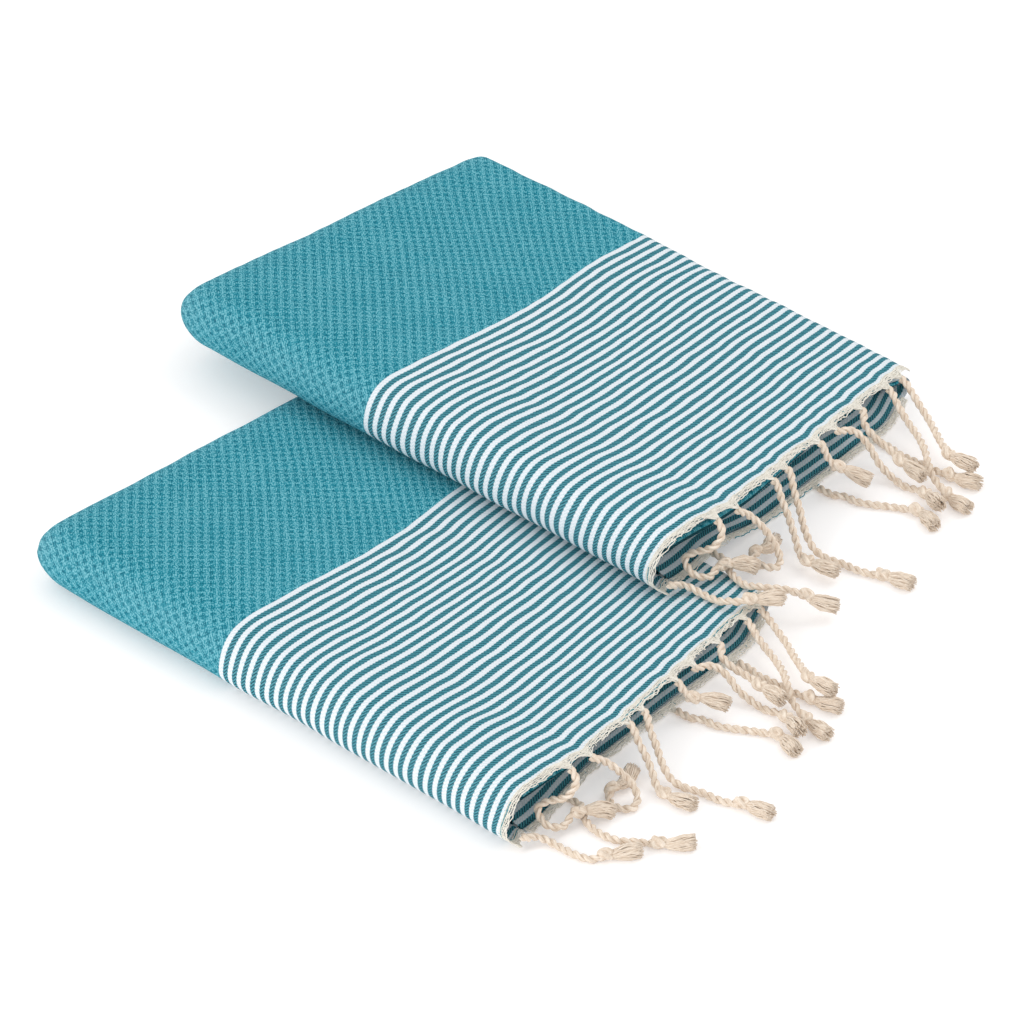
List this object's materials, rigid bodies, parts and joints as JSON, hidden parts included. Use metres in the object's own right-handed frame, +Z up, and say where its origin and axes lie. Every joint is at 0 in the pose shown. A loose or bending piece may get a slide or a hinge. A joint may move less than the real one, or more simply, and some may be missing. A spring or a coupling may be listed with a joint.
{
  "type": "bath towel set",
  "caption": "Folded flat-woven bath towels with a honeycomb field, a striped end band and knotted cotton tassels, stacked one partly on the other; the upper one lifts off and opens.",
  "frame": {"origin": "on the floor plane, under the middle of the two folded cloths' box", "axes": "+X towards the fringed ends, +Y from the front rolls to the thin rear edges, +Z up"},
  "size_m": [0.7422, 0.6555, 0.0728],
  "materials": {
    "striped_cloth": "matt cotton twill, teal and white stripes across a turquoise honeycomb field",
    "field_cloth": "matt turquoise cotton in a honeycomb weave with pale flecks",
    "hem_cloth": "loosely woven cream hem, frayed at its edge",
    "tassel_cotton": "undyed two-ply twisted cotton cord, knotted, with a brushed-out tuft"
  },
  "bodies": {
    "lower_towel": {"lower_towel_bottom_panel": "striped_cloth", "lower_towel_inner_panel": "field_cloth", "lower_towel_top_panel": "striped_cloth", "lower_towel_front_fold": "striped_cloth", "lower_towel_rear_fold": "field_cloth", "lower_towel_front_hem": "hem_cloth", "lower_towel_top_hem": "hem_cloth", "lower_towel_bottom_hem": "hem_cloth", "lower_towel_tassel_01": "tassel_cotton", "lower_towel_tassel_02": "tassel_cotton", "lower_towel_tassel_03": "tassel_cotton", "lower_towel_tassel_04": "tassel_cotton", "lower_towel_tassel_05": "tassel_cotton", "lower_towel_tassel_06": "tassel_cotton", "lower_towel_tassel_07": "tassel_cotton", "lower_towel_tassel_08": "tassel_cotton", "lower_towel_tassel_09": "tassel_cotton", "lower_towel_tassel_10": "tassel_cotton", "lower_towel_tassel_11": "tassel_cotton", "lower_towel_tassel_12": "tassel_cotton", "lower_towel_tassel_13": "tassel_cotton"},
    "upper_towel": {"upper_towel_bottom_panel": "striped_cloth", "upper_towel_inner_panel": "field_cloth", "upper_towel_front_fold": "striped_cloth", "upper_towel_rear_fold": "field_cloth", "upper_towel_front_hem": "hem_cloth", "upper_towel_bottom_hem": "hem_cloth", "upper_towel_tassel_01": "tassel_cotton", "upper_towel_tassel_03": "tassel_cotton", "upper_towel_tassel_08": "tassel_cotton", "upper_towel_tassel_11": "tassel_cotton"},
    "upper_towel_flap": {"upper_towel_top_panel": "striped_cloth", "upper_towel_top_hem": "hem_cloth", "upper_towel_tassel_02": "tassel_cotton", "upper_towel_tassel_04": "tassel_cotton", "upper_towel_tassel_05": "tassel_cotton", "upper_towel_tassel_06": "tassel_cotton", "upper_towel_tassel_07": "tassel_cotton", "upper_towel_tassel_09": "tassel_cotton", "upper_towel_tassel_10": "tassel_cotton", "upper_towel_tassel_12": "tassel_cotton", "upper_towel_tassel_13": "tassel_cotton"}
  },
  "joints": [
    {"name": "upper_towel_lift", "type": "slide", "parent": "lower_towel", "child": "upper_towel", "axis": [0, 0, 1], "range_m": [0, 0.15]},
    {"name": "upper_towel_open", "type": "hinge", "parent": "upper_towel", "child": "upper_towel_flap", "pos_m": [0, -0.05727, 0.05235], "axis": [1, 0, 0], "range_deg": [0, 180], "deforming": ["upper_towel_front_fold"]}
  ]
}
